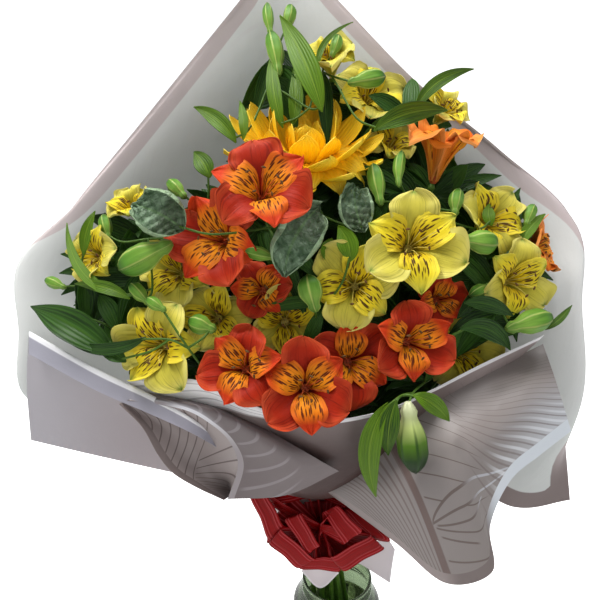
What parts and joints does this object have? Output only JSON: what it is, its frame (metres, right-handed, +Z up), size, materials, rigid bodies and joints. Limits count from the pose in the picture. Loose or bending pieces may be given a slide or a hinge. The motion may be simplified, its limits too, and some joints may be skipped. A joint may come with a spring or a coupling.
{
  "type": "flower bouquet",
  "caption": "Hand bouquet of alstroemerias and a sunflower in printed film with a red bow, standing in a glass jar of water.",
  "frame": {"origin": "the middle of the jar's flat base", "axes": "+Z up out of the jar, the bouquet's open side faces -Y, +X to the viewer's right"},
  "size_m": [0.498, 0.2583, 0.731],
  "materials": {
    "jar": "clear, faintly green",
    "water": "clear water",
    "film": "frosted printed film",
    "ribbon": "glossy ribbed ribbon",
    "green": "satin leaf",
    "dark_green": "matt leaf",
    "red_petal": "satin petal",
    "orange_petal": "satin petal",
    "yellow_petal": "satin petal",
    "sun_petal": "satin petal",
    "disc": "matt florets"
  },
  "bodies": {
    "root": {"jar": "jar", "orange_bloom_1": "orange_petal", "orange_bloom_2": "orange_petal", "red_bloom_1": "red_petal", "red_bloom_2": "red_petal", "red_bloom_3": "red_petal", "red_bloom_4": "red_petal", "red_bloom_5": "red_petal", "red_bloom_6": "red_petal", "red_bloom_7": "red_petal", "red_bloom_8": "red_petal", "ribbon_bow": "ribbon", "ribbon_tie": "ribbon", "stem_dark_leaf": "dark_green", "stem_green_top": "green", "stem_orange": "green", "stem_red_high": "green", "stem_red_low": "green", "stem_red_right": "green", "stem_yellow_corner": "green", "stem_yellow_left": "green", "stem_yellow_low": "green", "stem_yellow_middle": "green", "stem_yellow_right": "green", "stem_yellow_top": "green", "sunflower_disc": "disc", "sunflower_petals": "sun_petal", "sunflower_stem": "green", "water": "water", "wrap_back": "film", "wrap_front": "film", "wrap_tails": "film", "yellow_bloom_1": "yellow_petal", "yellow_bloom_10": "yellow_petal", "yellow_bloom_11": "yellow_petal", "yellow_bloom_12": "yellow_petal", "yellow_bloom_13": "yellow_petal", "yellow_bloom_14": "yellow_petal", "yellow_bloom_15": "yellow_petal", "yellow_bloom_2": "yellow_petal", "yellow_bloom_3": "yellow_petal", "yellow_bloom_4": "yellow_petal", "yellow_bloom_5": "yellow_petal", "yellow_bloom_6": "yellow_petal", "yellow_bloom_7": "yellow_petal", "yellow_bloom_8": "yellow_petal", "yellow_bloom_9": "yellow_petal"}
  },
  "joints": []
}
